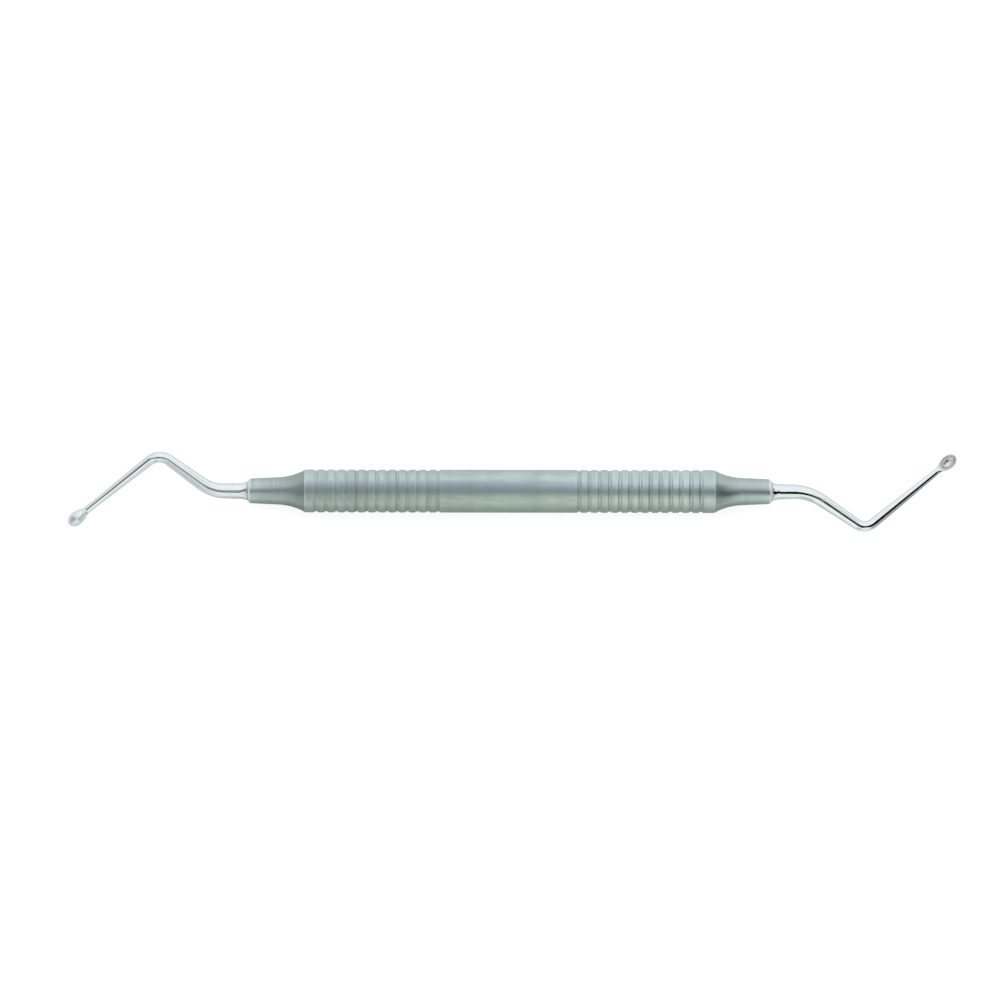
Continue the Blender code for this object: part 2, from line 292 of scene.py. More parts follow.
@dataclass(frozen=True)
class SatinSteel(Steel):
    """Bead-blasted steel of the handle: soft, even and slightly cool.

    The blasting leaves a fine grain over faint rings from the lathe. Seams hold some dirt,
    and the grooves and the flares of the cones are darkened with painted shade. Edges are
    rubbed brighter by handling, and the chamfers and the cones' lips carry a painted highlight.
    """

    slot: str = "satin_steel"
    colour: Colour = (0.545, 0.638, 0.632)
    cloud_colour: Colour = (0.464, 0.550, 0.549)
    # The rubbed colour also serves as a painted highlight on the chamfers and the cones' lips.
    # The dark colour is dirt at the seams and painted shade in the grooves and on the cones'
    # flares.
    worn_and_highlight_colour: Colour = (0.860, 0.920, 0.920)
    grime_and_shade_colour: Colour = (0.330, 0.385, 0.390)
    edge_tint: Colour = (0.70, 0.78, 0.78)
    roughness: float = 0.36
    roughness_spread: float = 0.06
    worn_roughness_drop: float = 0.08
    plain_half_mm: float = 13.7
    cloud_per_mm: float = 0.9
    cloud_detail: float = 4.0
    cloud_range: Span = (0.40, 0.60)
    lathe_stretch: Place = (3.2, 0.16, 0.16)
    brush_stretch: Place = (0.35, 1.5, 1.5)
    land_stretch: Place = (0.31, 0.02, 0.02)
    land_detail: float = 2.0
    land_share: float = 0.45
    grain_per_mm: float = 6.5
    grain_height: float = 0.0030 * MM
    ring_stretch: Place = (5.0, 0.06, 0.06)
    ring_height: float = 0.0022 * MM
    relief_detail: float = 3.0
    cone_start_mm: float = 40.4
    cone_rings: float = 0.3

    def surface(self, bench: NodeBench) -> Inputs:
        """Draw the blasted steel, its rubbed edges with a painted highlight, and its dirt and
        painted shade.

        Args:
            bench: Where the nodes are made.

        Returns:
            What the shader's inputs take, by their names.
        """
        place = bench.place_in_mm()
        parts = bench.add("ShaderNodeSeparateXYZ", {0: place})
        distance_out = bench.math("ABSOLUTE", parts.outputs["X"])
        clouds = self.clouds(bench, place, distance_out)
        # Rubbed edges are brightened, partly as a painted highlight.
        edge_tone = bench.trace(Trace.EDGE_TONE)
        colour = bench.blend(clouds, self.colour, self.cloud_colour)
        colour = bench.blend(edge_tone, colour, self.worn_and_highlight_colour)
        low = self.roughness - self.roughness_spread / 2
        blasted = bench.math("MULTIPLY_ADD", clouds, self.roughness_spread, low)
        return {
            "Metallic": 1.0,
            "Specular Tint": self.edge_tint,
            # Dirt at the seams and painted shade in the grooves and on the flares darken the
            # colour.
            "Base Color": bench.blend(bench.trace(Trace.GRIME_AND_SHADE), colour, self.grime_and_shade_colour),
            "Roughness": bench.math("MULTIPLY_ADD", edge_tone, -self.worn_roughness_drop, blasted),
            "Normal": self.relief(bench, place, distance_out),
        }

    def clouds(
        self, bench: NodeBench, place: NodeSocket, distance_out: NodeSocket
    ) -> NodeSocket:
        """Vary the blasting a little from patch to patch and from land to land.

        Args:
            bench: Where the nodes are made.
            place: The place on the piece in millimetres.
            distance_out: How far it lies from the middle of the handle.

        Returns:
            A share from 0 to 1 of the slightly darker blasting.
        """
        turned, brushed = (
            bench.noise(bench.stretch(place, factors), self.cloud_per_mm, self.cloud_detail)
            for factors in (self.lathe_stretch, self.brush_stretch)
        )
        banded = bench.math("GREATER_THAN", distance_out, self.plain_half_mm)
        inputs = {"Factor": banded, "A": brushed, "B": turned}
        patches = bench.add("ShaderNodeMix", inputs, data_type="FLOAT").outputs["Result"]
        lands = bench.noise(bench.stretch(place, self.land_stretch), 1.0, self.land_detail)
        lands = bench.math("MULTIPLY", lands, self.land_share)
        both = bench.math("MULTIPLY_ADD", patches, 1 - self.land_share, lands)
        return bench.rise(both, *self.cloud_range)

    def relief(
        self, bench: NodeBench, place: NodeSocket, distance_out: NodeSocket
    ) -> NodeSocket:
        """Raise the blasted grain over the faint rings of the lathe.

        Args:
            bench: Where the nodes are made.
            place: The place on the piece in millimetres.
            distance_out: How far it lies from the middle of the handle.

        Returns:
            The surface direction.
        """
        on_cone = bench.math("GREATER_THAN", distance_out, self.cone_start_mm)
        turned = bench.stretch(place, self.ring_stretch)
        rings = {
            "Strength": bench.math("MULTIPLY_ADD", on_cone, self.cone_rings - 1.0, 1.0),
            "Distance": self.ring_height,
            "Height": bench.noise(turned, 1.0, self.relief_detail),
        }
        grain = {
            "Distance": self.grain_height,
            "Height": bench.noise(place, self.grain_per_mm, self.relief_detail),
            "Normal": bench.bump(rings),
        }
        return bench.bump(grain)


@dataclass(frozen=True)
class PolishedSteel(Steel):
    """Bright polished steel of the shanks, with a duller ground hollow.

    The polishing wheel leaves faint streaks along the shank. The pattern is read
    along the unbent shank, so the streaks follow its bends.
    """

    slot: str = "polished_steel"
    colour: Colour = (0.812, 0.868, 0.880)
    smear_colour: Colour = (0.772, 0.834, 0.846)
    blade_colour: Colour = (0.820, 0.885, 0.890)
    bowl_colour: Colour = (0.770, 0.780, 0.790)
    rim_colour: Colour = (0.560, 0.585, 0.595)
    roughness: float = 0.075
    smear_roughness: float = 0.055
    bowl_roughness: float = 0.22
    blade_roughness: float = 0.24
    smear_per_mm: float = 0.8
    smear_detail: float = 4.0
    smear_range: Span = (0.4, 0.7)
    streak_stretch: Place = (0.25, 1.0, 1.0)
    streak_per_mm: float = 7.0
    streak_detail: float = 3.0
    streak_height: float = 0.0006 * MM
    dimple_per_mm: float = 2.2
    dimple_detail: float = 2.0
    dimple_height: float = 0.010 * MM

    def surface(self, bench: NodeBench) -> Inputs:
        """Draw the polished steel, its softer back and its ground hollow and rim.

        Args:
            bench: Where the nodes are made.

        Returns:
            What the shader's inputs take, by their names.
        """
        unbent = bench.trace(Trace.UNBENT, "Vector")
        smears = bench.noise(unbent, self.smear_per_mm, self.smear_detail)
        smears = bench.rise(smears, *self.smear_range)
        blade, bowl = bench.trace(Trace.BLADE), bench.trace(Trace.BOWL)
        colour = bench.blend(smears, self.colour, self.smear_colour)
        colour = bench.blend(blade, colour, self.blade_colour)
        colour = bench.blend(bowl, colour, self.bowl_colour)
        rough = bench.math("MULTIPLY_ADD", smears, self.smear_roughness, self.roughness)
        rough = bench.math("MULTIPLY_ADD", blade, self.blade_roughness, rough)
        return {
            "Metallic": 1.0,
            "Base Color": bench.blend(bench.trace(Trace.EDGE_TONE), colour, self.rim_colour),
            "Roughness": bench.math("MULTIPLY_ADD", bowl, self.bowl_roughness, rough),
            "Normal": self.relief(bench, unbent, bowl),
        }

    def relief(
        self, bench: NodeBench, unbent: NodeSocket, bowl: NodeSocket
    ) -> NodeSocket:
        """Raise the streaks of the wheel and the facets ground into the hollow.

        Args:
            bench: Where the nodes are made.
            unbent: The place on the unbent shank in millimetres.
            bowl: 1 in the hollow of the spoon.

        Returns:
            The surface direction.
        """
        along = bench.stretch(unbent, self.streak_stretch)
        streaks = {
            "Distance": self.streak_height,
            "Height": bench.noise(along, self.streak_per_mm, self.streak_detail),
        }
        dimples = {
            "Strength": bowl,
            "Distance": self.dimple_height,
            "Height": bench.noise(unbent, self.dimple_per_mm, self.dimple_detail),
            "Normal": bench.bump(streaks),
        }
        return bench.bump(dimples)


@dataclass
class Ring:
    """One closed ring of points with the values that they carry."""

    points: list[Vector]
    values: dict[Trace, list] = field(default_factory=dict)

    def middle(self) -> "Ring":
        """Return a ring of one point, in the middle of this one."""
        values = {kept: [mean(entries)] for kept, entries in self.values.items()}
        return Ring([mean(self.points)], values)


class Skin:
    """A closed surface drawn over a row of rings with the same number of points."""

    def __init__(self, name: str, rings: list[Ring]) -> None:
        """Take the mesh's name and the rings in order."""
        self.name, self.rings, self.count = name, rings, len(rings[0].points)
        self.faces: list[tuple[int, ...]] = []

    def join(self, near: int, far: int) -> None:
        """Lay a band of faces between two rings.

        Args:
            near: The number of one ring.
            far: The number of the other.
        """
        for i in range(self.count):
            j = (i + 1) % self.count
            spots = ((near, i), (near, j), (far, j), (far, i))
            self.faces.append(tuple(ring * self.count + spot for ring, spot in spots))

    def looped(self) -> Mesh:
        """Join the last ring to the first, as on a hollow turned piece.

        Returns:
            The mesh.
        """
        for number in range(len(self.rings)):
            self.join(number, (number + 1) % len(self.rings))
        return self.mesh()

    def capped(self) -> Mesh:
        """Close the first and the last ring with a fan, as on a solid piece.

        Returns:
            The mesh.
        """
        last = len(self.rings) - 1
        for number in range(last):
            self.join(number, number + 1)
        for number in (0, last):
            pole = (last + 1) * self.count + (number > 0)
            start = number * self.count
            for i in range(self.count):
                self.faces.append((start + i, start + (i + 1) % self.count, pole))
        self.rings += [self.rings[0].middle(), self.rings[last].middle()]
        return self.mesh()

    def mesh(self) -> Mesh:
        """Make the mesh with its values and its faces pointing out.

        Returns:
            The mesh.
        """
        mesh = bpy.data.meshes.new(self.name)
        points = [point for ring in self.rings for point in ring.points]
        mesh.from_pydata(points, [], self.faces)
        shape = bmesh.new()
        shape.from_mesh(mesh)
        bmesh.ops.recalc_face_normals(shape, faces=shape.faces)
        shape.to_mesh(mesh)
        shape.free()
        for kept in self.rings[0].values:
            entries = [entry for ring in self.rings for entry in ring.values[kept]]
            if kept is Trace.UNBENT:
                stored = mesh.attributes.new(kept.value, "FLOAT_VECTOR", "POINT")
                stored.data.foreach_set("vector", [part for entry in entries for part in entry])
            else:
                stored = mesh.attributes.new(kept.value, "FLOAT", "POINT")
                stored.data.foreach_set("value", entries)
        mesh.shade_smooth()
        return mesh


@dataclass
class Corner:
    """One corner of a turned outline, with how far its rounding reaches."""

    along: float
    radius: float
    rounding: float = 0.0
    # The first of these darkens a corner with dirt or with painted shade. The second brightens a
    # rubbed edge, partly as a painted highlight.
    grime_and_shade: float = 0.0
    edge_tone: float = 0.0

    def distance(self, other: "Corner") -> float:
        """Return how far away another corner is."""
        return math.hypot(other.along - self.along, other.radius - self.radius)

    def moved(self, along: float, radius: float) -> "Corner":
        """Return this corner at another place, without its rounding."""
        return replace(self, along=along, radius=radius, rounding=0.0)

    def toward(self, other: "Corner", reach: float) -> "Corner":
        """Step from this corner towards another one.

        Args:
            other: The corner to go towards.
            reach: How far to go.

        Returns:
            The place reached, with this corner's own values.
        """
        share = reach / self.distance(other)
        along = part_way(self.along, other.along, share)
        return self.moved(along, part_way(self.radius, other.radius, share))


@dataclass
class Outline:
    """The closed outline of a turned piece, with its corners rounded.

    A rounding takes most_cut of a straight run at most. A run keeps a held point just
    outside a rounding where it is at least least_run times as long.
    """

    corners: list[Corner]
    steps: int = 6
    hold: float = 0.05 * MM
    most_cut: float = 0.45
    least_run: float = 2.5

    def points(self) -> list[Corner]:
        """Work out the outline's points.

        Returns:
            The points in order, the last one next to the first.
        """
        found: list[Corner] = []
        for number, corner in enumerate(self.corners):
            after = self.corners[(number + 1) % len(self.corners)]
            found += self.turn(self.corners[number - 1], corner, after)
        return found

    def turn(self, before: Corner, corner: Corner, after: Corner) -> list[Corner]:
        """Round one corner and hold the straight runs beside it straight.

        Args:
            before: The corner before it.
            corner: The corner itself.
            after: The corner after it.

        Returns:
            The points at this corner.
        """
        if not corner.rounding:
            return [corner]
        cut_in, cut_out = (
            min(corner.rounding, self.most_cut * corner.distance(other))
            for other in (before, after)
        )
        spots = (corner.toward(before, cut_in), corner, corner.toward(after, cut_out))
        arc = []
        for step in range(self.steps + 1):
            t = step / self.steps
            shares = ((1 - t) ** 2, 2 * t * (1 - t), t**2)
            along = sum(share * spot.along for share, spot in zip(shares, spots))
            radius = sum(share * spot.radius for share, spot in zip(shares, spots))
            arc.append(corner.moved(along, radius))
        return self.held(corner, before, cut_in) + arc + self.held(corner, after, cut_out)

    def held(self, corner: Corner, other: Corner, cut: float) -> list[Corner]:
        """Place a point on a straight run, just outside a rounding.

        Args:
            corner: The rounded corner.
            other: The corner at the other end of the run.
            cut: How far the rounding reaches along the run.

        Returns:
            The point, or nothing where the run is too short for it.
        """
        if corner.distance(other) < self.least_run * (cut + self.hold):
            return []
        grime_and_shade, edge_tone = min(corner.grime_and_shade, other.grime_and_shade), min(corner.edge_tone, other.edge_tone)
        return [replace(corner.toward(other, cut + self.hold), grime_and_shade=grime_and_shade, edge_tone=edge_tone)]


@dataclass
class Handle:
    """Where the handle's axis lies and how its pieces are turned about it."""

    axis_height: float
    half_length: float
    facets: int = 144

    def turned(self, name: str, outline: Outline, end: End = End.RIGHT) -> Mesh:
        """Turn an outline about the handle's axis.

        Args:
            name: The name of the mesh.
            outline: The outline, drawn for the right end.
            end: The end of the handle that the piece belongs to.

        Returns:
            The mesh.
        """
        angles = [2 * math.pi * number / self.facets for number in range(self.facets)]
        rings = []
        for point in outline.points():
            along, radius = end.value * point.along, point.radius
            spots = [
                Vector((along, radius * math.cos(a), self.axis_height + radius * math.sin(a)))
                for a in angles
            ]
            marks = ((Trace.GRIME_AND_SHADE, point.grime_and_shade), (Trace.EDGE_TONE, point.edge_tone))
            rings.append(Ring(spots, {kept: [mark] * self.facets for kept, mark in marks}))
        return Skin(name, rings).looped()


def place_piece(mesh: Mesh, finish: Steel, node: str) -> Object:
    """Put a finished piece in the scene, in place of its plain solid.

    Args:
        mesh: The piece's mesh, which has its name.
        finish: Its finish.
        node: The plain solid that it stands for.

    Returns:
        The piece.
    """
    piece = link_object(mesh.name, mesh)
    mesh.materials.append(finish.material)
    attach(piece, "root")
    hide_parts(node)
    return piece


@dataclass
class HandleBarrel:
    """The hollow barrel with a band of grip grooves towards each end."""

    handle: Handle
    wall: float = 1.0 * MM
    edge_chamfer: float = 0.10 * MM
    edge_rounding: float = 0.03 * MM
    groove_count: int = 13
    groove_pitch: float = 2.0 * MM
    groove_mouth: float = 0.84 * MM
    groove_floor: float = 0.38 * MM
    groove_depth: float = 0.22 * MM
    shoulder_rounding: float = 0.14 * MM
    floor_rounding: float = 0.07 * MM
    left_inset: float = 2.25 * MM
    right_inset: float = 2.75 * MM
    # The end chamfers are brightened as rubbed edges and with a painted highlight. The groove
    # shoulders are rubbed a little brighter.
    edge_wear_and_highlight: float = 0.7
    shoulder_wear: float = 0.06
    # Painted shade at the foot of each groove's left wall, one value per groove, standing for the
    # dark line that the wall reflects and for some grooves looking deeper than others.
    left_wall_shade: tuple[float, ...] = (
        0.20, 0.15, 0.40, 0.35, 0.85, 0.40, 0.55, 0.25, 0.70, 0.50, 0.30, 0.40, 0.35,
        0.50, 0.75, 0.45, 0.45, 0.65, 0.40, 0.45, 0.60, 0.40, 0.50, 0.35, 0.45, 0.30,
    )
    # Painted shade on the groove floors.
    groove_floor_shade: float = 0.08
    # Darker inside the bore.
    bore_darkening: float = 0.6
    arc_steps: int = 3

    def groove_centres(self) -> list[float]:
        """Space the grooves of both bands.

        Returns:
            Their places along the barrel, from left to right.
        """
        span = (self.groove_count - 1) * self.groove_pitch
        left = -self.handle.half_length + self.left_inset
        right = self.handle.half_length - self.right_inset - span
        return [
            start + number * self.groove_pitch
            for start in (left, right)
            for number in range(self.groove_count)
        ]

    def groove(self, centre: float, grime_and_shade: float) -> list[Corner]:
        """Draw one groove.

        Args:
            centre: Its place along the barrel.
            grime_and_shade: How much painted shade darkens the foot of its left wall.

        Returns:
            Its corners, from right to left.
        """
        outer = self.handle.axis_height
        deep = outer - self.groove_depth
        mouth, width = self.groove_mouth / 2, self.groove_floor / 2
        shoulder = {"rounding": self.shoulder_rounding, "edge_tone": self.shoulder_wear}
        return [
            Corner(centre + mouth, outer, **shoulder),
            Corner(centre + width, deep, self.floor_rounding),
            # The floor and the foot of the left wall are darkened with painted shade.
            Corner(centre, deep, grime_and_shade=self.groove_floor_shade),
            Corner(centre - width, deep, self.floor_rounding, grime_and_shade=grime_and_shade),
            Corner(centre - mouth, outer, **shoulder),
        ]

    def outline(self) -> Outline:
        """Draw the wall of the tube, down its outside and back up its bore.

        Returns:
            The outline.
        """
        end, outer = self.handle.half_length, self.handle.axis_height
        chamfer, bore = self.edge_chamfer, outer - self.wall
        # The chamfers are rubbed brighter and carry a painted highlight.
        edge = {"rounding": self.edge_rounding, "edge_tone": self.edge_wear_and_highlight}
        inner = {"rounding": self.edge_rounding, "grime_and_shade": self.bore_darkening}
        corners = [
            Corner(end, outer - chamfer, **edge),
            Corner(end - chamfer, outer, **edge),
        ]
        marks = zip(self.groove_centres(), self.left_wall_shade)
        for centre, grime_and_shade in reversed(list(marks)):
            corners += self.groove(centre, grime_and_shade)
        corners += [
            Corner(chamfer - end, outer, **edge),
            Corner(-end, outer - chamfer, **edge),
            Corner(-end, bore, **inner),
            Corner(end, bore, **inner),
        ]
        return Outline(corners, self.arc_steps)

    def build(self, finish: SatinSteel) -> Object:
        """Return the barrel, turned and dressed in a finish."""
        mesh = self.handle.turned("grooved_barrel", self.outline())
        return place_piece(mesh, finish, "handle_barrel")


@dataclass
class EndCone:
    """A flared ferrule between the barrel and a shank."""

    handle: Handle
    end: End
    # Painted shade along the flare, from the shoulder to the nose, for the dim room that the
    # flare reflects.
    shoulder_shade: float
    nose_shade: float
    length: float = 11.1 * MM
    shoulder_step: float = 0.085 * MM
    mouth_radius: float = 2.43 * MM
    mouth_chamfer: float = 0.32 * MM
    mouth_rounding: float = 0.09 * MM
    lip_rounding: float = 0.05 * MM
    flare_radius: float = 12.2 * MM
    flare_steps: int = 36
    nose_taper: float = math.radians(2.6)
    spigot_length: float = 6.0 * MM
    spigot_radius: float = 3.13 * MM
    spigot_chamfer: float = 0.3 * MM
    bore_radius: float = 1.4 * MM
    # The mouth's chamfer is brightened as a rubbed edge and with a painted highlight.
    lip_wear_and_highlight: float = 1.0
    seam_grime: float = 0.35

    def flare(self, base: float, shoulder: float) -> list[Corner]:
        """Draw the hollow flare as one arc that runs into the straight nose.

        Args:
            base: The radius at the shoulder.
            shoulder: The place of the shoulder along the handle.

        Returns:
            The points of the arc, from the shoulder outwards.
        """
        taper = self.nose_taper
        drop = base - self.mouth_radius - self.length * math.tan(taper)
        steepest = taper + math.acos(1 - drop * math.cos(taper) / self.flare_radius)
        points = []
        for step in range(self.flare_steps + 1):
            angle = steepest + (taper - steepest) * step / self.flare_steps
            run = self.flare_radius * (math.sin(steepest) - math.sin(angle))
            fall = self.flare_radius * (math.cos(angle) - math.cos(steepest))
            # The flare is darkened with painted shade, most at the shoulder.
            flare_shade = part_way(self.shoulder_shade, self.nose_shade, step / self.flare_steps)
            points.append(Corner(shoulder + run, base - fall, grime_and_shade=flare_shade))
        return points

    def outline(self) -> Outline:
        """Draw the ferrule from its mouth down to its spigot and back up its bore.

        Returns:
            The outline.
        """
        shoulder = self.handle.half_length
        mouth, foot = shoulder + self.length, shoulder - self.spigot_length
        base = self.handle.axis_height - self.shoulder_step
        rim = self.mouth_radius + self.mouth_chamfer * math.tan(self.nose_taper)
        edge_tone, grime_and_shade = {"edge_tone": self.lip_wear_and_highlight}, {"grime_and_shade": self.seam_grime}
        corners = [
            Corner(mouth, self.bore_radius, self.lip_rounding, **grime_and_shade),
            Corner(mouth, self.mouth_radius - self.mouth_chamfer, self.lip_rounding, **edge_tone),
            Corner(mouth - self.mouth_chamfer, rim, self.mouth_rounding, **edge_tone),
            *reversed(self.flare(base, shoulder)),
            Corner(shoulder, self.spigot_radius, **grime_and_shade),
            Corner(foot + self.spigot_chamfer, self.spigot_radius),
            Corner(foot, self.spigot_radius - self.spigot_chamfer),
            Corner(foot, self.bore_radius),
        ]
        return Outline(corners)

    def build(self, finish: SatinSteel) -> Object:
        """Return the ferrule, turned and dressed in a finish."""
        mesh = self.handle.turned(f"{self.end.label}_end_cone", self.outline(), self.end)
        return place_piece(mesh, finish, f"end_cone_{self.end.label}")


@dataclass(frozen=True)
class Bends:
    """How one shank is bent. Lengths run between the corners of its straight lines."""

    exit_length: float
    first_bend: float
    first_radius: float
    offset_length: float
    second_bend: float
    second_radius: float
    reach_length: float

    def pieces(self) -> list[tuple[float, float]]:
        """Cut the shank's line into straights and arcs.

        Returns:
            The length and the curvature of each, from the ferrule to the spoon.
        """
        first_cut = self.first_radius * math.tan(self.first_bend / 2)
        second_cut = self.second_radius * math.tan(self.second_bend / 2)
        return [
            (self.exit_length - first_cut, 0.0),
            (self.first_radius * self.first_bend, -1 / self.first_radius),
            (self.offset_length - first_cut - second_cut, 0.0),
            (self.second_radius * self.second_bend, 1 / self.second_radius),
            (self.reach_length - second_cut, 0.0),
        ]

    def length(self) -> float:
        """Return the whole length of the shank and the spoon."""
        return sum(length for length, _ in self.pieces())

    def at(self, distance: float) -> tuple[float, float, float]:
        """Follow the shank's middle line.

        Args:
            distance: How far from the mouth of the ferrule.

        Returns:
            The place along the handle, the place across it, and the heading.
        """
        x, y, heading = min(distance, 0.0), 0.0, 0.0
        left = max(distance, 0.0)
        for length, curvature in self.pieces():
            run = min(left, length)
            if curvature:
                turned = heading + run * curvature
                x += (math.sin(turned) - math.sin(heading)) / curvature
                y += (math.cos(heading) - math.cos(turned)) / curvature
                heading = turned
            else:
                x += run * math.cos(heading)
                y += run * math.sin(heading)
            left -= run
        return x, y, heading


@dataclass(frozen=True)
class Stock:
    """The steel that one tip is drawn from, and how its spoon is turned."""

    shank_diameter: float
    neck_diameter: float
    taper_power: float
    spoon_roll: float


LEFT_BENDS = Bends(
    exit_length=7.1 * MM,
    first_bend=math.radians(35.6),
    first_radius=7.6 * MM,
    offset_length=12.8 * MM,
    second_bend=math.radians(74.1),
    second_radius=3.35 * MM,
    reach_length=22.7 * MM,
)
RIGHT_BENDS = Bends(
    exit_length=7.3 * MM,
    first_bend=math.radians(34.0),
    first_radius=10.3 * MM,
    offset_length=13.4 * MM,
    second_bend=math.radians(73.2),
    second_radius=2.8 * MM,
    reach_length=23.0 * MM,
)
LEFT_STOCK = Stock(
    shank_diameter=3.35 * MM,
    neck_diameter=1.5 * MM,
    taper_power=1.25,
    spoon_roll=math.radians(6),
)
RIGHT_STOCK = Stock(
    shank_diameter=3.2 * MM,
    neck_diameter=1.34 * MM,
    taper_power=1.05,
    spoon_roll=math.radians(22),
)


@dataclass
class CuretteTip:
    """One tip: tang, foot, tapering bent shank and hollowed spoon.

    Distances run along the shank from the mouth of the ferrule.
    """

    handle: Handle
    end: End
    bends: Bends
    stock: Stock
    mouth_offset: float = 11.2 * MM
    tang_radius: float = 1.3 * MM
    tang_length: float = 14.0 * MM
    tang_chamfer: float = 0.3 * MM
    foot_radius: float = 1.875 * MM
    foot_length: float = 1.7 * MM
    foot_seat: float = 0.05 * MM
    braze_rise: float = 0.13 * MM
    braze_length: float = 0.38 * MM
    braze_wear: float = 0.6
    facet_allowance: float = 0.016 * MM
    spoon_length: float = 3.75 * MM
    spoon_width: float = 2.85 * MM
    spoon_depth: float = 1.4 * MM
    spoon_wall: float = 0.34 * MM
    blade_power: int = 3
    rim_power: int = 4
    rim_width: float = 0.27 * MM
    rim_rise: float = 0.1 * MM
    rim_crown: float = 0.05 * MM
    rim_softness: float = 0.05 * MM
    bowl_lift: float = 0.12 * MM
    heel_length: float = 1.1 * MM
    shoulder_blend: float = 0.7 * MM
    section_points: int = 128
    shank_spacing: float = 0.2 * MM
    foot_spacing: float = 0.05 * MM
    heel_spacing: float = 0.05 * MM
    spoon_steps: int = 104
    last_station: float = math.radians(89.2)

    def __post_init__(self) -> None:
        """Find where the neck ends and where the spoon begins and has its middle."""
        tip = self.bends.length() - self.facet_allowance
        self.centre = tip - self.spoon_length / 2
        self.heel = tip - self.spoon_length
        self.neck_end = self.heel - self.heel_length

    def shank_radius(self, distance: float) -> float:
        """Measure the round shank.

        Args:
            distance: How far along the shank.

        Returns:
            The radius there.
        """
        left = 1 - min(max(distance / self.heel, 0.0), 1.0)
        thick, thin = self.stock.shank_diameter / 2, self.stock.neck_diameter / 2
        radius = thin + (thick - thin) * left**self.stock.taper_power
        fillet, braze = (
            max(1 - max(distance, 0.0) / length, 0.0) ** 2
            for length in (self.foot_length, self.braze_length)
        )
        radius += (self.foot_radius - thick) * fillet + self.braze_rise * braze
        return radius - self.facet_allowance

    def spoon_height(self, distance: float, largest: float) -> float:
        """Measure the spoon's oval, blended into the neck.

        Args:
            distance: How far along the shank.
            largest: The oval's size at the middle of the spoon.

        Returns:
            The size there.
        """
        across = (distance - self.centre) / (self.spoon_length / 2)
        oval = (largest - self.facet_allowance) * math.sqrt(max(1 - across * across, 0.0))
        if distance >= self.centre:
            return oval
        coming = smooth_step(distance, self.neck_end, self.heel)
        going = smooth_step(distance, self.heel, self.centre)
        blend = self.shoulder_blend * coming * (1 - going)
        return blended_larger(oval, self.shank_radius(distance), blend)

    def bowl_floor(self, distance: float, sideways: float) -> float:
        """Measure the ball that hollows the spoon.

        Args:
            distance: How far along the shank.
            sideways: How far across it.

        Returns:
            The height of the ball's underside over the shank's middle line.
        """
        reach = self.spoon_depth - self.spoon_wall + self.bowl_lift
        widening = 1 / math.sqrt(1 - (self.bowl_lift / reach) ** 2)
        half_length = (self.spoon_length / 2 - self.rim_width) * widening
        half_width = (self.spoon_width / 2 - self.rim_width) * widening
        away = ((distance - self.centre) / half_length) ** 2
        away += (sideways / half_width) ** 2
        top = self.rim_rise + self.bowl_lift
        if away >= 1:
            return top + (away - 1) * self.spoon_depth
        return top - reach * math.sqrt(1 - away)

    def frame(self, distance: float) -> tuple[Vector, Vector, Vector]:
        """Find the frame of a section.

        Args:
            distance: How far along the shank.

        Returns:
            Its middle, the direction across the shank, and the spoon's upward one.
        """
        x, y, heading = self.bends.at(distance)
        along = Vector((math.cos(heading), math.sin(heading), 0.0))
        level = Vector((-math.sin(heading), math.cos(heading), 0.0))
        middle = Vector((self.handle.half_length + self.mouth_offset + x, y, 0.0))
        roll = Matrix.Rotation(-self.stock.spoon_roll, 3, along)
        side = self.end.value
        height = Vector((0.0, 0.0, self.handle.axis_height))
        upward = Vector((0.0, 0.0, 1.0))
        return height + side * middle, side * (roll @ level), side * (roll @ upward)

    def ring(self, distance: float, radius: float | None = None) -> Ring:
        """Draw one section of the tip.

        Args:
            distance: How far along the shank.
            radius: The radius of a plain round section, or nothing for the shape's own.

        Returns:
            The ring with its values.
        """
        flat = smooth_step(distance, self.neck_end, self.heel + self.rim_width / 2)
        round_radius = self.shank_radius(distance) if radius is None else radius
        half_width = bottom = top = round_radius
        if distance > self.neck_end:
            half_width = self.spoon_height(distance, self.spoon_width / 2)
            bottom = self.spoon_height(distance, self.spoon_depth)
            crown = self.rim_crown * half_width / (self.spoon_width / 2)
            top = max(round_radius * (1 - flat), min(crown, half_width))
        middle, across, upward = self.frame(distance)
        seam = 1 - smooth_step(distance, self.braze_length / 2, self.braze_length)
        kinds = (Trace.UNBENT, Trace.BOWL, Trace.BLADE, Trace.EDGE_TONE)
        ring = Ring([], {kept: [] for kept in kinds})
        for number in range(self.section_points):
            angle = 2 * math.pi * number / self.section_points
            sideways, rise = half_width * math.cos(angle), math.sin(angle)
            upper = rise > 0
            height = self.rim_rise * flat + rise * (top if upper else bottom)
            inside = 0.0
            if upper and flat > 0:
                hollow = self.bowl_floor(distance, sideways)
                inside = smooth_step(height - hollow, 0.0, self.rim_softness)
                height = blended_smaller(height, hollow, self.rim_softness)
            ring.points.append(middle + across * sideways + upward * height)
            marks = (
                Vector([MM_PER_METRE * part for part in (distance, sideways, height)]),
                inside,
                0.0 if upper else flat**self.blade_power,
                max(
                    self.braze_wear * seam,
                    flat**self.rim_power * (1 - inside) if upper else 0.0,
                ),
            )
            for kept, mark in zip(kinds, marks):
                ring.values[kept].append(mark)
        return ring

